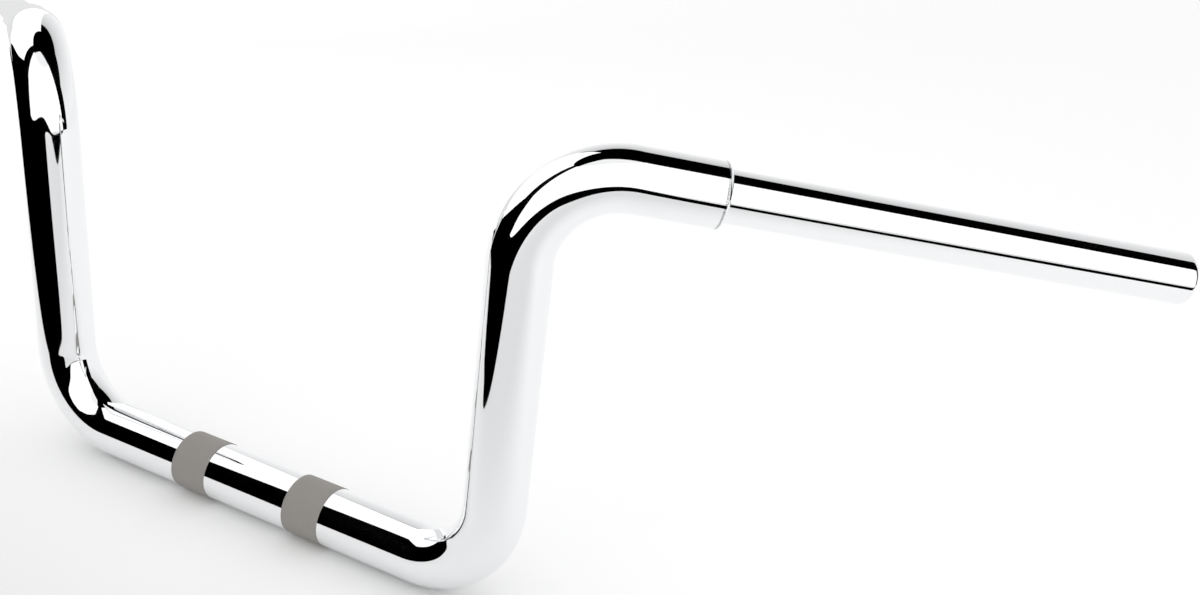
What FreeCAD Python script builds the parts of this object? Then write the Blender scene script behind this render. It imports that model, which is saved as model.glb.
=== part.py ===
import FreeCAD, Part
import math
import os

from FreeCAD import Vector

os.makedirs("parts", exist_ok=True)

# A bent tubular motorcycle handlebar. Millimetres, X to the rider's right, Y forward, Z up.
# The origin is on the bar's axis, midway between the two clamp bands.

# Driving dimensions: tube sections
TUBE_D = 31.75            # main tube, 1 1/4 in
GRIP_D = 25.4             # grip tubes, 1 in
SHOULDER_LAND = 0.8       # width of the ring by which a grip tube seats on the main tube's end
SPIGOT_CLEARANCE = 0.05   # radial gap round a grip tube's spigot
GRIP_WALL = 3.05          # wall of the grip tubes

# Driving dimensions: the bent centre line, measured between the corners that the bends round off
BASE_WIDTH = 300.0        # between the two lower corners
RISE = 222.5              # height of the upper corners over the lower ones
SPLAY = 8.0               # how far each riser leans outward on its way up
BEND_R = 44.45            # centre-line radius of all four bends, 1 3/4 in
UPPER_STRAIGHT = 41.5     # main tube's straight run between an upper bend and its end
GRIP_LENGTH = 231.5       # length of a grip tube outside the main tube
PULLBACK_DEG = 34.5       # how far the grips point rearward
DROOP_DEG = 7.5           # how far the grips point down

# Driving dimensions: clamp bands
BAND_PITCH = 80.0         # between the middles of the two bands
BAND_WIDTH = 24.0         # width of a band's round face
BAND_PROUD = 0.2          # how far a band stands over the tube

# Derived sizes
tube_r = TUBE_D / 2
grip_r = GRIP_D / 2
bore_r = grip_r - SHOULDER_LAND
spigot_r = bore_r - SPIGOT_CLEARANCE
grip_bore_r = grip_r - GRIP_WALL
tube_edge = (tube_r - bore_r) / 2
grip_edge = GRIP_WALL * 0.6
spigot_length = UPPER_STRAIGHT * 0.8
band_r = tube_r + BAND_PROUD

ORIGIN = Vector(0, 0, 0)


def corner_points(side):
    """Lower corner, upper corner and grip direction on one side: -1 is the rider's left, 1 the right."""
    lower = Vector(side * BASE_WIDTH / 2, 0, 0)
    upper = lower + Vector(side * SPLAY, 0, RISE)
    pull = math.radians(PULLBACK_DEG)
    droop = math.radians(DROOP_DEG)
    level = math.cos(droop)
    grip = Vector(side * level * math.cos(pull), -level * math.sin(pull), -math.sin(droop))
    return lower, upper, grip


def ring(point, direction):
    """The main tube's ring-shaped section, square to the direction."""
    outer = Part.Face(Part.Wire(Part.makeCircle(tube_r, point, direction)))
    inner = Part.Face(Part.Wire(Part.makeCircle(bore_r, point, direction)))
    return outer.cut(inner).Faces[0]


def setback(before, after):
    """How far from its corner a bend starts and ends, for the directions before and after it."""
    return BEND_R * math.tan(before.getAngle(after) / 2)


def bend(corner, before, after):
    """The tube's bend round a corner: its section turned about the bend's own axis."""
    start = corner - before * setback(before, after)
    axis = before.cross(after).normalize()
    centre = start + axis.cross(before) * BEND_R
    return ring(start, before).revolve(centre, axis, math.degrees(before.getAngle(after)))


def turned(outline, base, direction):
    """A body of revolution: a closed outline of length and radius points, turned about a line."""
    face = Part.Face(Part.makePolygon(outline + outline[:1]))
    body = face.revolve(ORIGIN, Vector(1, 0, 0), 360)
    body.Placement = FreeCAD.Placement(base, FreeCAD.Rotation(Vector(1, 0, 0), direction))
    return body


def at(length, radius):
    return Vector(length, 0, radius)


def broken_edge(end, outer, size):
    """The two flats that break a tube's outer edge into a near round, from its end face to its wall."""
    lean = size * math.cos(math.radians(45))
    middle = at(end - size + lean, outer - size + lean)
    return [at(end, outer - size), middle, at(end - size, outer)]


def tube_end(base, direction):
    """The main tube's last straight run, with its broken edge."""
    wall = [at(0, tube_r), at(0, bore_r), at(UPPER_STRAIGHT, bore_r)]
    return turned(wall + broken_edge(UPPER_STRAIGHT, tube_r, tube_edge), base, direction)


def centre_run(half):
    """The straight middle of the main tube with its two clamp bands, each with sloped sides."""
    points = [at(-half, bore_r), at(-half, tube_r)]
    for middle in (-BAND_PITCH / 2, BAND_PITCH / 2):
        first = middle - BAND_WIDTH / 2
        last = middle + BAND_WIDTH / 2
        points += [at(first - BAND_PROUD, tube_r), at(first, band_r)]
        points += [at(last, band_r), at(last + BAND_PROUD, tube_r)]
    points += [at(half, tube_r), at(half, bore_r)]
    return turned(points, ORIGIN, Vector(1, 0, 0))


def main_tube():
    """The bent main tube, from one grip tube's seat to the other's."""
    runs = []
    for side in (-1, 1):
        lower, upper, grip = corner_points(side)
        outward = Vector(side, 0, 0)
        riser = (upper - lower).normalize()
        foot = lower + riser * setback(outward, riser)
        top = upper - riser * setback(riser, grip)
        runs.append(bend(lower, outward, riser))
        runs.append(ring(foot, riser).extrude(top - foot))
        runs.append(bend(upper, riser, grip))
        runs.append(tube_end(upper + grip * setback(riser, grip), grip))
    half = BASE_WIDTH / 2 - setback(outward, riser)
    return centre_run(half).multiFuse(runs)


def grip_tube(side):
    """A grip tube with its spigot, the shoulder that seats on the main tube, and an open outer end."""
    lower, upper, grip = corner_points(side)
    riser = (upper - lower).normalize()
    seat = upper + grip * (setback(riser, grip) + UPPER_STRAIGHT)
    wall = [at(0, grip_r), at(0, spigot_r), at(-spigot_length, spigot_r), at(-spigot_length, grip_bore_r),
            at(GRIP_LENGTH, grip_bore_r)]
    return turned(wall + broken_edge(GRIP_LENGTH, grip_r, grip_edge), seat, grip)


def export(name, shape):
    """Writes one solid, and stops if the shape is anything else."""
    if len(shape.Solids) != 1 or not shape.isValid():
        raise ValueError(name + " is not one sound solid")
    shape.Solids[0].exportStep(os.path.join("parts", name + ".step"))


export("main_tube", main_tube())
export("left_grip_tube", grip_tube(-1))
export("right_grip_tube", grip_tube(1))
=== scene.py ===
import math

import bpy
import numpy as np
from bpy.props import FloatProperty, FloatVectorProperty, PointerProperty
from mathutils import Matrix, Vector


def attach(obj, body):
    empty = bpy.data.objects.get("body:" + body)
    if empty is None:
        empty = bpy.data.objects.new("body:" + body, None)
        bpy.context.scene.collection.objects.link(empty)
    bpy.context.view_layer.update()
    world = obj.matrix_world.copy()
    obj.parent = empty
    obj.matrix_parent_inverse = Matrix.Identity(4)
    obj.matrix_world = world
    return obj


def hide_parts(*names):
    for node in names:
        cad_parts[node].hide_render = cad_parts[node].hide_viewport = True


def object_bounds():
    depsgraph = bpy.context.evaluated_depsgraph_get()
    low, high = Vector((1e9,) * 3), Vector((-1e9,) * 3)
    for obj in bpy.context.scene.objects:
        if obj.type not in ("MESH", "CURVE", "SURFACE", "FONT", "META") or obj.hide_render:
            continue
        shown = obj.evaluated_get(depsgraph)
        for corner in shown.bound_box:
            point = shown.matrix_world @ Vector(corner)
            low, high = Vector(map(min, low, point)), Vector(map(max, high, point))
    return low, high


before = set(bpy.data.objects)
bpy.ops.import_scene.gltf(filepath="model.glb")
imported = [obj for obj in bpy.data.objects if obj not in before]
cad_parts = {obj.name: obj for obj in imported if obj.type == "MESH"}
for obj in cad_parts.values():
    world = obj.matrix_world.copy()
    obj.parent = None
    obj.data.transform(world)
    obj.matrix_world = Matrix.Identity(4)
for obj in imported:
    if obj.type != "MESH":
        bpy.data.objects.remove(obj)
CAD_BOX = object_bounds()

bl_info = {
    "name": "Chromed handlebar",
    "version": (1, 0, 0),
    "blender": (4, 5, 0),
    "location": "View3D > Sidebar > Handlebar",
    "description": "Dresses a bent tubular handlebar in chrome and sets it in a plain studio",
    "category": "Object",
}

# How finely the surfaces are divided
ROUND = 128            # points round a section
BEND_STEP = 1.5        # degrees of bend between two sections
RUN_ROWS = 24          # sections along a straight run of the main tube
BORE_BEND_STEP = 6.0   # the same two for the main tube's bore, which hardly shows
BORE_RUN_ROWS = 6
EDGE_ROWS = 17         # sections round the rounded edge of a tube's end
FINE_EDGE_ROWS = 5     # sections round the small edge of a grip's bore
SIDE_ROWS = 12         # sections along a grip's side or bore, or across a clamp band

# Small sizes that nothing else drives, in metres
FINE_EDGE = 0.0004     # edges of a spigot's end and of a grip's bore
BAND_FOOT = 0.0004     # depth of a clamp band's foot in the tube's wall
SIDE_INSET = 0.001     # from a grip's shoulder or edge to the first section of its side

# The studio set, in metres and degrees, where 0 degrees is straight ahead of the bar and 90 is its right
FLOOR_RADIUS = 4.0
FLOOR_GAP = 0.0005     # from the bar's lowest point down to the floor
CLOTH_LIFT = 0.0003    # from the floor up to the black cloth on it
GRIP_HEIGHT = 0.23     # of the grips over the floor
WALL_RADIUS = 1.238
WALL_FROM = -104
WALL_TO = 134
WALL_FOOT = -0.5
WALL_TOP = 2.9
SIDE_CLOTH_FROM = 97   # grey cloth before the wall's right end, and its heights
SIDE_CLOTH = (0.06, 0.36)
REAR_SETBACK = 0.6     # from the wall out to the rear cloth, where that one ends, and its heights
REAR_CLOTH_TO = 248
REAR_CLOTH = (0.15, 2.5)
STRIP_SETBACK = 0.02   # from the wall in to the black strips before it
STRIP_TOP = 3.0
ROOF_HEIGHT = 3.02
ROOF_BACK = -2.4
ROOF_FRONT = ((-3, -0.36), (-1.6, -0.07), (-0.7, 0.21), (0, 0.41), (0.8, 1.38), (3, 1.4))
BLACK_STRETCH = 1.45   # least ratio of the radii where black floor cloth stops and starts

# Angle and height pairs: the upper edge of the front strip and the lower edge of the side strip
FRONT_STRIP = ((24, 0.3), (26, 0.46), (28, 0.66), (30, 0.8), (32.5, 0.94), (33, STRIP_TOP), (53, STRIP_TOP))
SIDE_STRIP = ((-165, 1.95), (-140, 1.32), (-124, 0.95), (-123, -0.3),
              (-104, -0.3), (-103, 0.4), (-100, 0.95), (-91, 2.7))

# The heights of the black skirt's upper edge, and the radii where black cloth starts on the floor, each
# given every CURVE_STEP degrees from -180
CURVE_STEP = 15
SKIRT_TOP = (-0.51, -0.48, -0.46, -0.43, -0.39, -0.335, -0.26, -0.155, -0.18, 0.09, 0.34, 0.33, 0.22,
             0.11, 0.22, 1.10, 0.72, 0.46, 0.28, 0.03, -0.106, -0.023, 0.0, 0.0, 0.0)
BLACK_FROM = (4.0, 4.0, 2.96, 2.16, 1.52, 1.03, 0.70, 0.62, 0.56, 0.90, 1.60, 0.31, 0.2, 0.155, 0.19, 0.19,
              0.254, 0.4425, 0.687, 1.36, 2.51, 3.35, 3.78, 4.0, 4.0)


def linear(code):
    """A colour written as an sRGB hex value, as the linear red, green and blue that Blender works in."""
    srgb = np.array([int(code[i:i + 2], 16) for i in (1, 3, 5)]) / 255
    return tuple(np.where(srgb <= 0.04045, srgb / 12.92, ((srgb + 0.055) / 1.055) ** 2.4))


class HandlebarSizes(bpy.types.PropertyGroup):
    """Sizes of the bent tube, the grip tubes and the clamp bands"""
    tube_diameter: FloatProperty(
        name="Tube diameter", description="Outside diameter of the main tube",
        default=0.03175, unit="LENGTH", precision=5)
    tube_bore: FloatProperty(
        name="Tube bore", description="Inside diameter of the main tube",
        default=0.0238, unit="LENGTH", precision=5)
    tube_edge: FloatProperty(
        name="Tube end radius", description="Rounding of the main tube's ends",
        default=0.0030, unit="LENGTH", precision=5)
    base_width: FloatProperty(
        name="Base width", description="Between the two lower corners of the centre line",
        default=0.300, unit="LENGTH", precision=5)
    rise: FloatProperty(
        name="Rise", description="Height of the upper corners over the lower ones",
        default=0.2225, unit="LENGTH", precision=5)
    splay: FloatProperty(
        name="Splay", description="How far each riser leans outward on its way up",
        default=0.008, unit="LENGTH", precision=5)
    bend_radius: FloatProperty(
        name="Bend radius", description="Centre-line radius of the four bends",
        default=0.04445, unit="LENGTH", precision=5)
    upper_straight: FloatProperty(
        name="Upper straight", description="Straight run between an upper bend and the tube's end",
        default=0.0415, unit="LENGTH", precision=5)
    pullback: FloatProperty(
        name="Pullback", description="How far the grips point rearward",
        default=math.radians(34.5), subtype="ANGLE")
    droop: FloatProperty(
        name="Droop", description="How far the grips point down",
        default=math.radians(7.5), subtype="ANGLE")
    grip_diameter: FloatProperty(
        name="Grip diameter", description="Outside diameter of a grip tube",
        default=0.0254, unit="LENGTH", precision=5)
    grip_bore: FloatProperty(
        name="Grip bore", description="Inside diameter of a grip tube",
        default=0.0193, unit="LENGTH", precision=5)
    grip_edge: FloatProperty(
        name="Grip end radius", description="Rounding of a grip tube's open end",
        default=0.0025, unit="LENGTH", precision=5)
    grip_length: FloatProperty(
        name="Grip length", description="Length of a grip tube outside the main tube",
        default=0.2315, unit="LENGTH", precision=5)
    spigot_diameter: FloatProperty(
        name="Spigot diameter", description="Turned-down root of a grip tube, inside the main tube",
        default=0.0237, unit="LENGTH", precision=5)
    spigot_length: FloatProperty(
        name="Spigot length", description="How far a grip tube reaches into the main tube",
        default=0.0332, unit="LENGTH", precision=5)
    band_pitch: FloatProperty(
        name="Band pitch", description="Between the middles of the two clamp bands",
        default=0.080, unit="LENGTH", precision=5)
    band_width: FloatProperty(
        name="Band width", description="Width of a clamp band's round face",
        default=0.024, unit="LENGTH", precision=5)
    band_proud: FloatProperty(
        name="Band height", description="How far a clamp band stands over the tube",
        default=0.0002, unit="LENGTH", precision=5)


class HandlebarColours(bpy.types.PropertyGroup):
    """Colours of the two finishes, of the studio floor and of the painted shade on the floor's front"""
    chrome: FloatVectorProperty(
        name="Chrome", description="Bright chromium plate",
        default=linear("#F2F3F4"), subtype="COLOR", min=0, max=1)
    blasted: FloatVectorProperty(
        name="Blasted band", description="Blasted steel of the clamp bands",
        default=linear("#93908C"), subtype="COLOR", min=0, max=1)
    floor: FloatVectorProperty(
        name="Floor", description="Plain pale studio floor",
        default=linear("#F4F4F4"), subtype="COLOR", min=0, max=1)
    # Painted shade: a pale grey put into the floor's colour before the bar, standing in for less light
    # falling there
    floor_painted_shade: FloatVectorProperty(
        name="Floor, front edge", description="The floor's paper before the bar, away from the light",
        default=linear("#DADADA"), subtype="COLOR", min=0, max=1)


def add_node(tree, kind, settings=None, inputs=None):
    """Adds one node: settings are its own attributes, inputs are values or the sockets that feed it."""
    made = tree.nodes.new(kind)
    for name, value in (settings or {}).items():
        setattr(made, name, value)
    for name, value in (inputs or {}).items():
        if isinstance(value, bpy.types.NodeSocket):
            tree.links.new(value, made.inputs[name])
        else:
            made.inputs[name].default_value = value
    return made


def empty_material(name):
    """A material with no nodes yet, and its node tree."""
    material = bpy.data.materials.new(name)
    material.use_nodes = True
    material.node_tree.nodes.clear()
    return material, material.node_tree


def polished_chromium_plate(colours):
    """Chromium plate over polished steel."""
    # A mirror: the eye sees the studio in it. Buffing leaves faint cloudy patches about 18 mm wide
    # and hair-fine haze about 1.5 mm wide, and the steel below is not quite flat over some 30 mm.
    material = bpy.data.materials.get("polished_chromium_plate")
    if material:
        return material
    material, tree = empty_material("polished_chromium_plate")
    place = add_node(tree, "ShaderNodeTexCoord")
    clouds = add_node(tree, "ShaderNodeTexNoise", None,
                      {"Vector": place.outputs["Object"], "Scale": 1 / 0.018, "Detail": 2.0})
    haze = add_node(tree, "ShaderNodeTexNoise", None,
                    {"Vector": place.outputs["Object"], "Scale": 1 / 0.0015, "Detail": 3.0})
    both = add_node(tree, "ShaderNodeMath", {"operation": "MULTIPLY"},
                    {0: clouds.outputs["Fac"], 1: haze.outputs["Fac"]})
    rough = add_node(tree, "ShaderNodeMapRange", None,
                     {"Value": both.outputs["Value"], "From Min": 0.1, "From Max": 0.45,
                      "To Min": 0.02, "To Max": 0.055})
    waves = add_node(tree, "ShaderNodeTexNoise", None,
                     {"Vector": place.outputs["Object"], "Scale": 1 / 0.030, "Detail": 0.0})
    flatness = add_node(tree, "ShaderNodeBump", None,
                        {"Height": waves.outputs["Fac"], "Strength": 0.35, "Distance": 0.00004})
    plate = add_node(tree, "ShaderNodeBsdfPrincipled", None,
                     {"Base Color": (*colours.chrome, 1), "Metallic": 1.0,
                      "Roughness": rough.outputs["Result"], "Normal": flatness.outputs["Normal"]})
    add_node(tree, "ShaderNodeOutputMaterial", None, {"Surface": plate.outputs["BSDF"]})
    return material


def grit_blasted_steel(colours):
    """Steel blasted with fine grit, where the clamps grip the bar."""
    # Flat grey without a mirror: pits about 0.3 mm across, drawn as 0.7 mm so that they show,
    # and light and dark patches a few millimetres wide where the blast lay heavier.
    material, tree = empty_material("grit_blasted_steel")
    place = add_node(tree, "ShaderNodeTexCoord")
    grit = add_node(tree, "ShaderNodeTexNoise", None,
                    {"Vector": place.outputs["Object"], "Scale": 1 / 0.0007, "Detail": 2.0})
    patch = add_node(tree, "ShaderNodeTexNoise", None,
                     {"Vector": place.outputs["Object"], "Scale": 1 / 0.005, "Detail": 3.0})
    grain = add_node(tree, "ShaderNodeMix", {"data_type": "FLOAT"},
                     {"Factor": 0.35, "A": grit.outputs["Fac"], "B": patch.outputs["Fac"]})
    dark = 0.88 * np.array(colours.blasted)
    light = 1.10 * np.array(colours.blasted)
    tone = add_node(tree, "ShaderNodeMix", {"data_type": "RGBA"},
                    {0: grain.outputs[0], 6: (*dark, 1), 7: (*light, 1)})
    rough = add_node(tree, "ShaderNodeMapRange", None,
                     {"Value": grain.outputs[0], "To Min": 0.62, "To Max": 0.82})
    pits = add_node(tree, "ShaderNodeBump", None,
                    {"Height": grit.outputs["Fac"], "Strength": 0.5, "Distance": 0.00008})
    steel = add_node(tree, "ShaderNodeBsdfPrincipled", None,
                     {"Base Color": tone.outputs[2], "Metallic": 0.35,
                      "Roughness": rough.outputs["Result"], "Normal": pits.outputs["Normal"]})
    add_node(tree, "ShaderNodeOutputMaterial", None, {"Surface": steel.outputs["BSDF"]})
    return material


def unit(vector):
    """A vector shortened to length 1."""
    return vector / np.linalg.norm(vector)


def turn(vector, axis, angles):
    """A vector turned about an axis by each angle: its part along the axis stays, the rest swings round."""
    angles = np.asarray(angles)[:, None]
    along = axis * (axis @ vector)
    return along + (vector - along) * np.cos(angles) + np.cross(axis, vector) * np.sin(angles)


def grip_line(sizes, side):
    """Upper corner, grip direction and main tube's end on one side: -1 is the rider's left, 1 the right."""
    corner = np.array([side * (sizes.base_width / 2 + sizes.splay), 0.0, sizes.rise])
    level = math.cos(sizes.droop)
    way = np.array([side * level * math.cos(sizes.pullback), -level * math.sin(sizes.pullback),
                    -math.sin(sizes.droop)])
    riser = unit(np.array([side * sizes.splay, 0.0, sizes.rise]))
    setback = sizes.bend_radius * math.tan(math.acos(riser @ way) / 2)
    return corner, way, corner + way * (setback + sizes.upper_straight)


def centre_line(sizes, bend_step, run_points):
    """The main tube's centre line from its left end to its right end, as points with a heading and two
    section axes each. On a straight run a point is the start plus a length along the heading. On a bend the
    start is turned about the bend's axis, and the section axes turn with it, so the grid never twists."""
    left_corner, _, left_end = grip_line(sizes, -1)
    right_corner, _, right_end = grip_line(sizes, 1)
    half = sizes.base_width / 2
    route = np.array([left_end, left_corner, [-half, 0, 0], [half, 0, 0], right_corner, right_end])
    heading = unit(route[1] - route[0])
    across = unit(np.cross(heading, (0.0, 0.0, 1.0)))
    start = route[0]
    rows = []
    for here, there in zip(route[1:-1], route[2:]):
        onward = unit(there - here)
        bend = math.acos(heading @ onward)
        entry = here - heading * sizes.bend_radius * math.tan(bend / 2)
        share = np.linspace(0, 1, run_points)[:, None]
        straight = [np.repeat([v], run_points, 0) for v in (heading, across)]
        rows.append([start + (entry - start) * share, *straight])
        axis = unit(np.cross(heading, onward))
        hub = entry + np.cross(axis, heading) * sizes.bend_radius
        angles = np.linspace(0, bend, max(3, round(math.degrees(bend) / bend_step)))[1:]
        bent = [turn(v, axis, angles) for v in (heading, across)]
        rows.append([hub + turn(entry - hub, axis, angles), *bent])
        start, heading, across = rows[-1][0][-1], onward, rows[-1][2][-1]
        rows[-2] = [part if len(rows) == 2 else part[1:] for part in rows[-2]]
    share = np.linspace(0, 1, run_points)[1:, None]
    straight = [np.repeat([v], run_points - 1, 0) for v in (heading, across)]
    rows.append([start + (route[-1] - start) * share, *straight])
    points, headings, axes = (np.concatenate(part) for part in zip(*rows))
    return points, headings, axes, np.cross(headings, axes)


def quarter(radius, points):
    """A quarter circle's inward and onward offsets, from the side of a tube round to its end face."""
    angle = np.linspace(0, math.pi / 2, points)
    return radius * (np.cos(angle) - 1), radius * (np.sin(angle) - 1)


def closed_grid(name, grid, material, sharp=40):
    """A mesh from a grid of points that closes on itself both ways, with its faces turned outward."""
    rows, columns = grid.shape[:2]
    index = np.arange(rows * columns).reshape(rows, columns)
    after = np.roll(index, -1, 0)
    quads = np.stack([index, after, np.roll(after, -1, 1), np.roll(index, -1, 1)], -1).reshape(-1, 4)
    flat = grid.reshape(-1, 3)
    a, b, c, d = (flat[quads[:, i]] for i in range(4))
    if np.einsum("ij,ij->", a + b + c + d, np.cross(c - a, d - b)) < 0:
        quads = quads[:, ::-1]
    mesh = bpy.data.meshes.new(name)
    mesh.from_pydata(flat.tolist(), [], quads.tolist())
    mesh.polygons.foreach_set("use_smooth", np.ones(len(quads), dtype=bool))
    mesh.set_sharp_from_angle(angle=math.radians(sharp))
    mesh.materials.append(material)
    mesh.update()
    piece = bpy.data.objects.new(name, mesh)
    bpy.context.scene.collection.objects.link(piece)
    return piece


def section(points, headings, across, upward, radius, onward):
    """Rings round a line: a point is the line's point, plus the onward offset along the heading, plus the
    radius times the cosine of its angle across and the sine of it upward."""
    angle = np.linspace(0, 2 * math.pi, ROUND, endpoint=False)[None, :, None]
    spoke = across[:, None] * np.cos(angle) + upward[:, None] * np.sin(angle)
    return (points + headings * onward[:, None])[:, None] + spoke * radius[:, None, None]


class HANDLEBAR_OT_main_tube(bpy.types.Operator):
    """Sweeps the bent main tube, with rounded ends and its bore, in chrome"""
    bl_idname = "handlebar.main_tube"
    bl_label = "Main tube"

    def execute(self, context):
        sizes = context.scene.handlebar_sizes
        outer = sizes.tube_diameter / 2
        bore = sizes.tube_bore / 2
        line = centre_line(sizes, BEND_STEP, RUN_ROWS)
        inner = centre_line(sizes, BORE_BEND_STEP, BORE_RUN_ROWS)
        inward, onward = quarter(sizes.tube_edge, EDGE_ROWS)
        last = [part[-1:] for part in line]
        first = [part[:1] for part in line]
        # Once round the wall: out along the tube, round its right end, back along the bore, and round its
        # left end
        side = [part[1:-1] for part in line]
        right = [np.repeat(part, EDGE_ROWS, 0) for part in last]
        left = [np.repeat(part, EDGE_ROWS, 0) for part in first]
        back = [part[::-1] for part in inner]
        wall = section(*side, np.full(len(side[0]), outer), np.zeros(len(side[0])))
        right_lip = section(*right, outer + inward, onward)
        bore_wall = section(*back, np.full(len(back[0]), bore), np.zeros(len(back[0])))
        left_lip = section(*left, (outer + inward)[::-1], -onward[::-1])
        grid = np.concatenate([wall, right_lip, bore_wall, left_lip])
        chrome = polished_chromium_plate(context.scene.handlebar_colours)
        piece = closed_grid("main_tube_chrome", grid, chrome)
        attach(piece, "root")
        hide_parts("main_tube")
        return {"FINISHED"}


class HANDLEBAR_OT_grip_tubes(bpy.types.Operator):
    """Turns the two grip tubes, each with its spigot, bore and rounded open end, in chrome"""
    bl_idname = "handlebar.grip_tubes"
    bl_label = "Grip tubes"

    def execute(self, context):
        sizes = context.scene.handlebar_sizes
        outer = sizes.grip_diameter / 2
        bore = sizes.grip_bore / 2
        spigot = sizes.spigot_diameter / 2
        length = sizes.grip_length
        root = -sizes.spigot_length
        chrome = polished_chromium_plate(context.scene.handlebar_colours)
        inward, onward = quarter(sizes.grip_edge, EDGE_ROWS)
        lip_in, lip_on = quarter(FINE_EDGE, FINE_EDGE_ROWS)
        run = np.linspace(SIDE_INSET, length - sizes.grip_edge - SIDE_INSET, SIDE_ROWS)
        back = np.linspace(length - 2 * SIDE_INSET, 2 * SIDE_INSET, SIDE_ROWS)
        # The wall's outline as radius and length: spigot, shoulder, side, rounded end, bore
        radius = np.concatenate([
            [bore, spigot - FINE_EDGE, spigot, spigot, outer], np.full(SIDE_ROWS, outer), outer + inward,
            (bore - lip_in)[::-1], np.full(SIDE_ROWS, bore)])
        length_at = np.concatenate([
            [root, root, root + FINE_EDGE, 0, 0], run,
            length + onward, (length + lip_on)[::-1], back])
        for side, name in ((-1, "left_grip_tube"), (1, "right_grip_tube")):
            _, way, seat = grip_line(sizes, side)
            across = unit(np.cross(way, (0.0, 0.0, 1.0)))
            upward = np.cross(way, across)
            rows = [np.repeat([v], len(radius), 0) for v in (seat, way, across, upward)]
            grid = section(*rows, radius, length_at)
            piece = closed_grid(name + "_chrome", grid, chrome)
            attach(piece, "root")
            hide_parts(name)
        return {"FINISHED"}


class HANDLEBAR_OT_clamp_bands(bpy.types.Operator):
    """Turns the two blasted bands on the middle of the bar where the clamps grip it"""
    bl_idname = "handlebar.clamp_bands"
    bl_label = "Clamp bands"

    def execute(self, context):
        sizes = context.scene.handlebar_sizes
        tube = sizes.tube_diameter / 2
        half = sizes.band_width / 2
        proud = sizes.band_proud
        material = grit_blasted_steel(context.scene.handlebar_colours)
        # A band's outline: a flat face with sloped sides, and a hidden foot inside the tube's wall
        foot = tube - BAND_FOOT
        radius = np.concatenate([[foot, foot, tube], np.full(SIDE_ROWS, tube + proud), [tube]])
        reach = half + proud
        length_at = np.concatenate([[reach, -reach, -reach], np.linspace(-half, half, SIDE_ROWS), [reach]])
        for side, name in ((-1, "left_clamp_band"), (1, "right_clamp_band")):
            centre = np.array([side * sizes.band_pitch / 2, 0.0, 0.0])
            rows = [np.repeat([v], len(radius), 0)
                    for v in (centre, np.array([1.0, 0, 0]), np.array([0, 1.0, 0]), np.array([0, 0, 1.0]))]
            piece = closed_grid(name, section(*rows, radius, length_at), material, 60)
            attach(piece, "root")
        return {"FINISHED"}


def smooth_curve(heights, angles):
    """A cubic B-spline over evenly spaced control heights from -180 degrees on, read at angles in degrees:
    each value is the mix of its four nearest heights by the spline's four weights."""
    steps = (angles + 180) / CURVE_STEP
    start = np.clip(np.floor(steps).astype(int), 0, len(heights) - 2)
    part = steps - start
    weights = ((1 - part) ** 3, 3 * part ** 3 - 6 * part ** 2 + 4,
               -3 * part ** 3 + 3 * part ** 2 + 3 * part + 1, part ** 3)
    picks = [heights[np.clip(start + k, 0, len(heights) - 1)] for k in (-1, 0, 1, 2)]
    return sum(weight * pick for weight, pick in zip(weights, picks)) / 6


def bent_wall(radius, angles, low, high):
    """A standing sheet bent round the bar: a point is the radius times the sine and cosine of its angle from
    straight ahead, and its height goes from low to high."""
    way = np.radians(angles)
    foot = np.stack([radius * np.sin(way), radius * np.cos(way)], -1)
    heights = np.stack([np.broadcast_to(low, angles.shape), np.broadcast_to(high, angles.shape)])
    return np.concatenate([np.broadcast_to(foot, (2, *foot.shape)), heights[..., None]], -1)


def set_piece(name, grid, material, hidden=True, lights=True):
    """A sheet of the studio set from a grid of points, kept out of the picture if it is hidden."""
    rows, columns = grid.shape[:2]
    index = np.arange(rows * columns).reshape(rows, columns)
    quads = np.stack([index[:-1, :-1], index[:-1, 1:], index[1:, 1:], index[1:, :-1]], -1).reshape(-1, 4)
    mesh = bpy.data.meshes.new(name)
    mesh.from_pydata(grid.reshape(-1, 3).tolist(), [], quads.tolist())
    mesh.materials.append(material)
    made = bpy.data.objects.new(name, mesh)
    bpy.context.scene.collection.objects.link(made)
    if hidden:
        made.visible_camera = False
        made.visible_shadow = False
        made.visible_diffuse = lights


def glowing_cloth(name, strength):
    """Evenly lit studio cloth, or unlit black cloth at strength 0."""
    material, tree = empty_material(name)
    glow = add_node(tree, "ShaderNodeEmission", None, {"Strength": strength})
    add_node(tree, "ShaderNodeOutputMaterial", None, {"Surface": glow.outputs["Emission"]})
    return material


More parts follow.
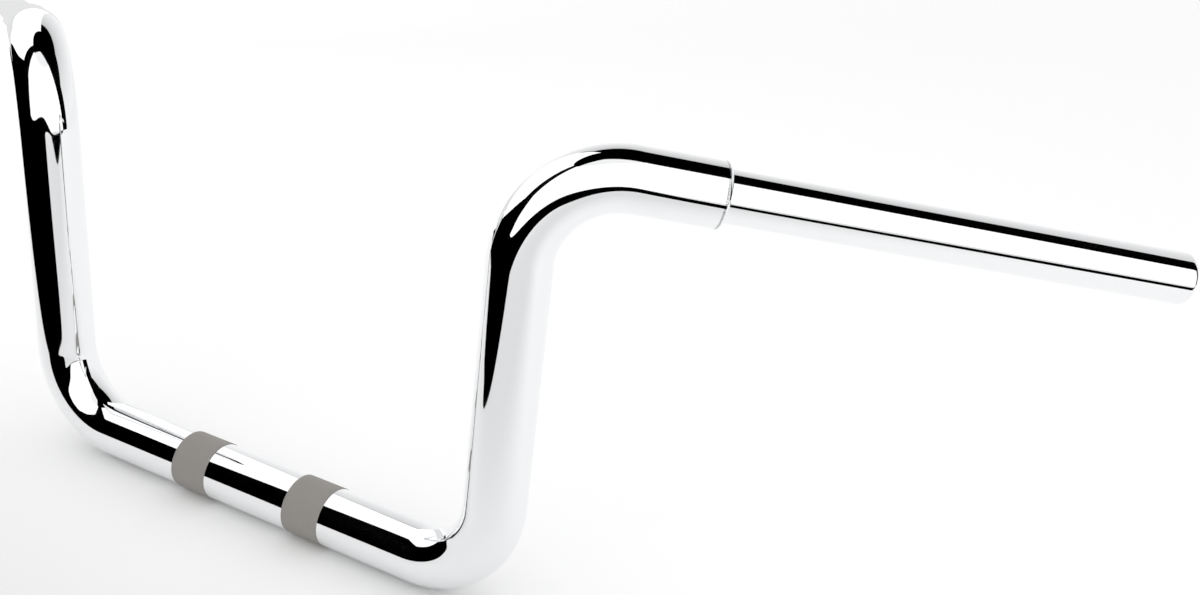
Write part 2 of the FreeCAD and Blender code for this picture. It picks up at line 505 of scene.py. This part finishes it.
class HANDLEBAR_OT_studio(bpy.types.Operator):
    """Lays the pale floor, hangs the cloths that the chrome mirrors, and sets the world and the camera"""
    bl_idname = "handlebar.studio"
    bl_label = "Studio"

    def execute(self, context):
        scene = context.scene
        colours = scene.handlebar_colours
        level = CAD_BOX[0][2] - FLOOR_GAP

        # The floor: white paper with painted shade, whose colour turns a pale grey before the bar and white
        # again further out
        angles = np.linspace(-180, 180, 181)
        circle = np.stack([np.sin(np.radians(angles)), np.cos(np.radians(angles))], -1)
        disc = circle * np.linspace(0, FLOOR_RADIUS, 17)[:, None, None]
        sheet = np.concatenate([disc, np.full((*disc.shape[:2], 1), level)], -1)
        material, tree = empty_material("matt_paper_painted_shade")
        place = add_node(tree, "ShaderNodeTexCoord")
        axes = add_node(tree, "ShaderNodeSeparateXYZ", None, {"Vector": place.outputs["Object"]})
        # Painted shade: the colour goes from white to the pale grey front colour between 0.08 m behind and
        # 0.25 m before the bar's middle, and back to white from 0.3 m to 1.5 m out
        near = add_node(tree, "ShaderNodeMapRange", {"interpolation_type": "SMOOTHSTEP"},
                        {"Value": axes.outputs["Y"], "From Min": -0.08, "From Max": 0.25})
        far = add_node(tree, "ShaderNodeMapRange", {"interpolation_type": "SMOOTHSTEP"},
                       {"Value": axes.outputs["Y"], "From Min": 0.3, "From Max": 1.5,
                        "To Min": 1.0, "To Max": 0.0})
        fall = add_node(tree, "ShaderNodeMath", {"operation": "MULTIPLY"},
                        {0: near.outputs["Result"], 1: far.outputs["Result"]})
        tone = add_node(tree, "ShaderNodeMix", {"data_type": "RGBA"},
                        {0: fall.outputs["Value"], 6: (*colours.floor, 1), 7: (*colours.floor_painted_shade, 1)})
        paper = add_node(tree, "ShaderNodeBsdfDiffuse", None, {"Color": tone.outputs[2]})
        add_node(tree, "ShaderNodeOutputMaterial", None, {"Surface": paper.outputs["BSDF"]})
        set_piece("floor", sheet, material, hidden=False)

        # White cloth round the front, over a black skirt and black cloth on the floor before it. Where the
        # skirt's edge lies below the floor, the black stops where a grip's mirror line to that edge passes
        white = glowing_cloth("lit_white_cloth", 1.25)
        black = glowing_cloth("black_velvet", 0.0)
        angles = np.linspace(WALL_FROM, WALL_TO, WALL_TO - WALL_FROM + 1)
        hem = smooth_curve(np.array(SKIRT_TOP), angles)
        start = np.exp(smooth_curve(np.log(BLACK_FROM), angles))
        passing = WALL_RADIUS * GRIP_HEIGHT / (GRIP_HEIGHT + np.maximum(level - hem, 0))
        stop = np.minimum(np.maximum(start * BLACK_STRETCH, passing), WALL_RADIUS)
        stop = np.maximum(start, stop)
        way = np.stack([np.sin(np.radians(angles)), np.cos(np.radians(angles))], -1)
        ring = way * np.stack([start, stop])[..., None]
        cloth = np.concatenate([ring, np.full((*ring.shape[:2], 1), level + CLOTH_LIFT)], -1)
        set_piece("black_floor_cloth", cloth, black, lights=False)
        set_piece("white_cloth", bent_wall(WALL_RADIUS, angles, hem, WALL_TOP), white)
        set_piece("black_skirt", bent_wall(WALL_RADIUS, angles, WALL_FOOT, hem), black, lights=False)

        # Black strips before the wall: one to the right of the front, and one on the left up to the roof
        angles = np.linspace(24, 53, 59)
        top = np.interp(angles, *np.transpose(FRONT_STRIP))
        strip = bent_wall(WALL_RADIUS - STRIP_SETBACK, angles, WALL_FOOT, top)
        set_piece("black_strip", strip, black, lights=False)
        angles = np.linspace(-165, -91, 75)
        low = np.interp(angles, *np.transpose(SIDE_STRIP))
        strip = bent_wall(WALL_RADIUS - STRIP_SETBACK, angles, low, STRIP_TOP)
        set_piece("black_side_strip", strip, black, lights=False)
        angles = np.linspace(SIDE_CLOTH_FROM, WALL_TO, WALL_TO - SIDE_CLOTH_FROM + 1)
        side = bent_wall(WALL_RADIUS - STRIP_SETBACK / 2, angles, *SIDE_CLOTH)
        set_piece("grey_side_cloth", side, glowing_cloth("grey_cloth", 0.82), lights=False)

        # Rear cloth, hung over the top of the picture: as white as the world below, greyer to the top
        material, tree = empty_material("fading_grey_cloth")
        place = add_node(tree, "ShaderNodeTexCoord")
        axes = add_node(tree, "ShaderNodeSeparateXYZ", None, {"Vector": place.outputs["Object"]})
        fade = add_node(tree, "ShaderNodeMapRange", None,
                        {"Value": axes.outputs["Z"], "From Min": 0.3, "From Max": REAR_CLOTH[1],
                         "To Min": 1.0, "To Max": 0.62})
        glow = add_node(tree, "ShaderNodeEmission", None, {"Strength": fade.outputs["Result"]})
        add_node(tree, "ShaderNodeOutputMaterial", None, {"Surface": glow.outputs["Emission"]})
        angles = np.linspace(WALL_TO, REAR_CLOTH_TO, REAR_CLOTH_TO - WALL_TO + 1)
        rear = bent_wall(WALL_RADIUS + REAR_SETBACK, angles, *REAR_CLOTH)
        set_piece("grey_rear_cloth", rear, material, lights=False)
        roof = np.array([[(x, ROOF_BACK, ROOF_HEIGHT) for x, _ in ROOF_FRONT],
                         [(x, y, ROOF_HEIGHT) for x, y in ROOF_FRONT]])
        set_piece("black_roof", roof, black, lights=False)

        # The world: soft white light on the bar and the floor, and plain white where it is seen or mirrored
        world = bpy.data.worlds.new("white_studio")
        scene.world = world
        world.use_nodes = True
        tree = world.node_tree
        tree.nodes.clear()
        path = add_node(tree, "ShaderNodeLightPath")
        seen = add_node(tree, "ShaderNodeMath", {"operation": "ADD"},
                        {0: path.outputs["Is Camera Ray"], 1: path.outputs["Is Glossy Ray"]})
        shown = add_node(tree, "ShaderNodeMath", {"operation": "ADD", "use_clamp": True},
                         {0: seen.outputs["Value"], 1: path.outputs["Is Transmission Ray"]})
        soft = add_node(tree, "ShaderNodeBackground", None, {"Color": (1, 1, 1, 1), "Strength": 1.05})
        plain = add_node(tree, "ShaderNodeBackground", None, {"Color": (1, 1, 1, 1), "Strength": 1.0})
        choice = add_node(tree, "ShaderNodeMixShader", None,
                          {0: shown.outputs["Value"], 1: soft.outputs["Background"],
                           2: plain.outputs["Background"]})
        add_node(tree, "ShaderNodeOutputWorld", None, {"Surface": choice.outputs["Shader"]})

        # The camera at the photograph's angle: its own axes and its place
        lens = bpy.data.cameras.new("camera")
        lens.lens = 39.95
        lens.sensor_width = 36.0
        lens.sensor_fit = "HORIZONTAL"
        lens.shift_x = 0.003
        lens.shift_y = -0.05
        lens.clip_start = 0.01
        camera = bpy.data.objects.new("camera", lens)
        scene.collection.objects.link(camera)
        right = (-0.86909, -0.48781, 0.08200)
        upward = (0.23163, -0.25486, 0.93882)
        back = (-0.43707, 0.83492, 0.33449)
        place = (-0.45085, 0.48951, 0.39111)
        camera.matrix_world = Matrix([(*row, 1 if i == 3 else 0) for i, row in
                                      enumerate((right, upward, back, place))]).transposed()
        scene.camera = camera
        scene.view_settings.view_transform = "Standard"
        return {"FINISHED"}


class HANDLEBAR_PT_panel(bpy.types.Panel):
    """Lists the handlebar's steps, sizes and colours"""
    bl_label = "Handlebar"
    bl_idname = "HANDLEBAR_PT_panel"
    bl_space_type = "VIEW_3D"
    bl_region_type = "UI"
    bl_category = "Handlebar"

    def draw(self, context):
        column = self.layout.column()
        for step in STEPS:
            column.operator(step.bl_idname)
        for group in (context.scene.handlebar_sizes, context.scene.handlebar_colours):
            for name in group.bl_rna.properties.keys():
                if name not in {"rna_type", "name"}:
                    column.prop(group, name)


STEPS = (HANDLEBAR_OT_main_tube, HANDLEBAR_OT_grip_tubes, HANDLEBAR_OT_clamp_bands, HANDLEBAR_OT_studio)
CLASSES = (HandlebarSizes, HandlebarColours, *STEPS, HANDLEBAR_PT_panel)


def register():
    for kind in CLASSES:
        bpy.utils.register_class(kind)
    bpy.types.Scene.handlebar_sizes = PointerProperty(type=HandlebarSizes)
    bpy.types.Scene.handlebar_colours = PointerProperty(type=HandlebarColours)


def unregister():
    del bpy.types.Scene.handlebar_colours
    del bpy.types.Scene.handlebar_sizes
    for kind in reversed(CLASSES):
        bpy.utils.unregister_class(kind)


def main():
    register()
    bpy.ops.handlebar.main_tube()
    bpy.ops.handlebar.grip_tubes()
    bpy.ops.handlebar.clamp_bands()
    bpy.ops.handlebar.studio()


if __name__ == "__main__":
    main()
